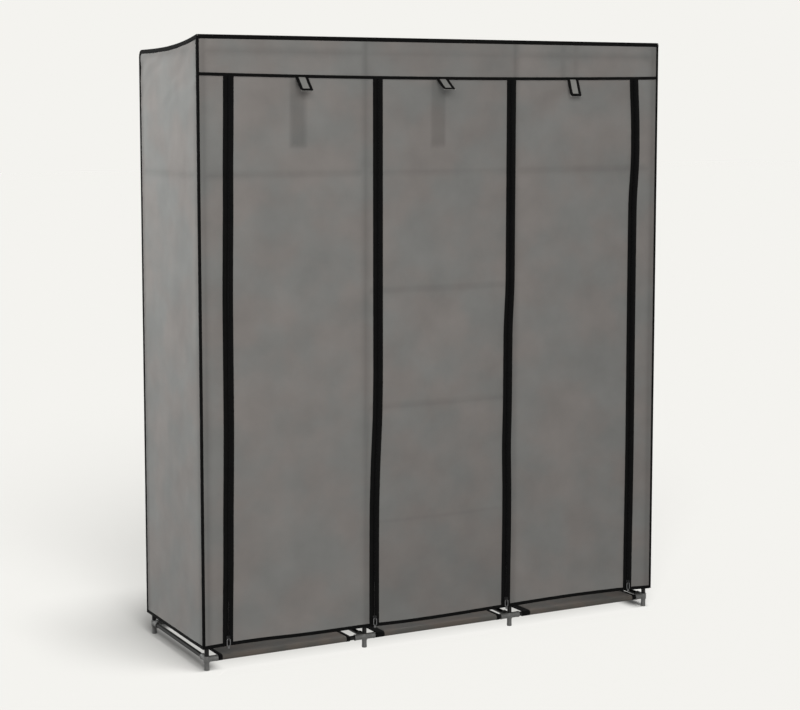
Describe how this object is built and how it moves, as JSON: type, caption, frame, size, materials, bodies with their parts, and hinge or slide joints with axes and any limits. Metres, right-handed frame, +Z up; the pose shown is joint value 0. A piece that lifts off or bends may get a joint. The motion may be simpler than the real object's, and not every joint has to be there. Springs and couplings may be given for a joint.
{
  "type": "portable fabric wardrobe",
  "caption": "Free-standing wardrobe: thin steel tube frame in plastic connectors, sewn fabric cover with roll-up doors between zips, fabric shelves and hanging rods.",
  "frame": {"origin": "on the floor, in the middle of the box round the whole wardrobe and its tie straps", "axes": "+Z up, +X to the right seen from the front, +Y towards the back"},
  "size_m": [1.5, 0.4922, 1.75],
  "materials": {
    "cover_fabric": "matt grey non-woven polypropylene",
    "shelf_fabric": "matt dark grey non-woven polypropylene",
    "black_binding": "matt black woven tape and binding",
    "black_steel": "black powder-coated steel tube",
    "grey_plastic": "grey moulded polypropylene",
    "zip_metal": "grey enamelled zip metal"
  },
  "bodies": {
    "root": {"post_front_1": "black_steel", "foot_connector_front_1": "grey_plastic", "post_front_2": "black_steel", "foot_connector_front_2": "grey_plastic", "post_front_3": "black_steel", "foot_connector_front_3": "grey_plastic", "post_front_4": "black_steel", "foot_connector_front_4": "grey_plastic", "post_back_1": "black_steel", "foot_connector_back_1": "grey_plastic", "post_back_2": "black_steel", "foot_connector_back_2": "grey_plastic", "post_back_3": "black_steel", "foot_connector_back_3": "grey_plastic", "post_back_4": "black_steel", "foot_connector_back_4": "grey_plastic", "base_front_rail_left": "black_steel", "base_front_rail_middle": "black_steel", "base_front_rail_right": "black_steel", "base_side_tube_1": "black_steel", "base_side_tube_2": "black_steel", "base_side_tube_3": "black_steel", "base_side_tube_4": "black_steel", "top_frame": "black_steel", "middle_shelf_1": "shelf_fabric", "middle_shelf_2": "shelf_fabric", "middle_shelf_3": "shelf_fabric", "upper_shelf_left": "shelf_fabric", "base_shelf_left": "shelf_fabric", "upper_shelf_middle": "shelf_fabric", "base_shelf_middle": "shelf_fabric", "upper_shelf_right": "shelf_fabric", "base_shelf_right": "shelf_fabric", "hanging_rod_left": "black_steel", "hanging_rod_right": "black_steel", "cover_left_side": "cover_fabric", "cover_right_side": "cover_fabric", "cover_top_and_back": "cover_fabric", "cover_front_surround": "cover_fabric", "door_left": "cover_fabric", "door_middle": "cover_fabric", "door_right": "cover_fabric", "zip_tape_1": "black_binding", "zip_tape_2": "black_binding", "zip_tape_3": "black_binding", "zip_tape_4": "black_binding"},
    "left_door": {"door_hem_left": "black_binding"},
    "middle_door": {"door_hem_middle": "black_binding"},
    "right_door": {"door_hem_right": "black_binding"},
    "slider_1": {"zip_slider_1": "zip_metal"},
    "slider_2": {"zip_slider_2": "zip_metal"},
    "slider_3": {"zip_slider_3": "zip_metal"},
    "slider_4": {"zip_slider_4": "zip_metal"},
    "pull_1": {"zip_pull_1": "zip_metal"},
    "pull_2": {"zip_pull_2": "zip_metal"},
    "pull_3": {"zip_pull_3": "zip_metal"},
    "pull_4": {"zip_pull_4": "zip_metal"},
    "left_strap": {"tie_strap_left": "cover_fabric"},
    "middle_strap": {"tie_strap_middle": "cover_fabric"},
    "right_strap": {"tie_strap_right": "cover_fabric"}
  },
  "joints": [
    {"name": "left_door_roll", "type": "slide", "parent": "root", "child": "left_door", "axis": [0, 0, 1], "range_m": [0, 1.48], "deforming": ["door_left"]},
    {"name": "middle_door_roll", "type": "slide", "parent": "root", "child": "middle_door", "axis": [0, 0, 1], "range_m": [0, 1.48], "deforming": ["door_middle", "zip_tape_2", "zip_tape_3"]},
    {"name": "right_door_roll", "type": "slide", "parent": "root", "child": "right_door", "axis": [0, 0, 1], "range_m": [0, 1.48], "deforming": ["door_right"]},
    {"name": "slider_1_slide", "type": "slide", "parent": "root", "child": "slider_1", "axis": [0.0113, 0, 0.9999], "range_m": [0, 1.48]},
    {"name": "slider_2_slide", "type": "slide", "parent": "root", "child": "slider_2", "axis": [0.0094, 0, 1], "range_m": [0, 1.48]},
    {"name": "slider_3_slide", "type": "slide", "parent": "root", "child": "slider_3", "axis": [0.0066, 0, 1], "range_m": [0, 1.48]},
    {"name": "slider_4_slide", "type": "slide", "parent": "root", "child": "slider_4", "axis": [0.0043, 0, 1], "range_m": [0, 1.48]},
    {"name": "pull_1_swing", "type": "hinge", "parent": "slider_1", "child": "pull_1", "pos_m": [-0.67685, -0.21038, 0.088], "axis": [-1, 0, 0], "range_deg": [0, 150]},
    {"name": "pull_2_swing", "type": "hinge", "parent": "slider_2", "child": "pull_2", "pos_m": [-0.22095, -0.21038, 0.088], "axis": [-1, 0, 0], "range_deg": [0, 150]},
    {"name": "pull_3_swing", "type": "hinge", "parent": "slider_3", "child": "pull_3", "pos_m": [0.22113, -0.21038, 0.088], "axis": [-1, 0, 0], "range_deg": [0, 150]},
    {"name": "pull_4_swing", "type": "hinge", "parent": "slider_4", "child": "pull_4", "pos_m": [0.6607, -0.21038, 0.088], "axis": [-1, 0, 0], "range_deg": [0, 150]},
    {"name": "left_strap_hinge", "type": "hinge", "parent": "root", "child": "left_strap", "pos_m": [-0.4425, -0.20478, 1.63876], "axis": [-1, 0, 0], "range_deg": [-41, 109]},
    {"name": "middle_strap_hinge", "type": "hinge", "parent": "root", "child": "middle_strap", "pos_m": [0, -0.20478, 1.6365], "axis": [-1, 0, 0], "range_deg": [-52, 98]},
    {"name": "right_strap_hinge", "type": "hinge", "parent": "root", "child": "right_strap", "pos_m": [0.4425, -0.20478, 1.63876], "axis": [-1, 0, 0], "range_deg": [-18, 132]}
  ],
  "couplings": [
    {"joint": "slider_1_slide", "follows": "left_door_roll", "ratio": 1},
    {"joint": "slider_2_slide", "follows": "middle_door_roll", "ratio": 1},
    {"joint": "slider_3_slide", "follows": "middle_door_roll", "ratio": 1},
    {"joint": "slider_4_slide", "follows": "right_door_roll", "ratio": 1}
  ]
}
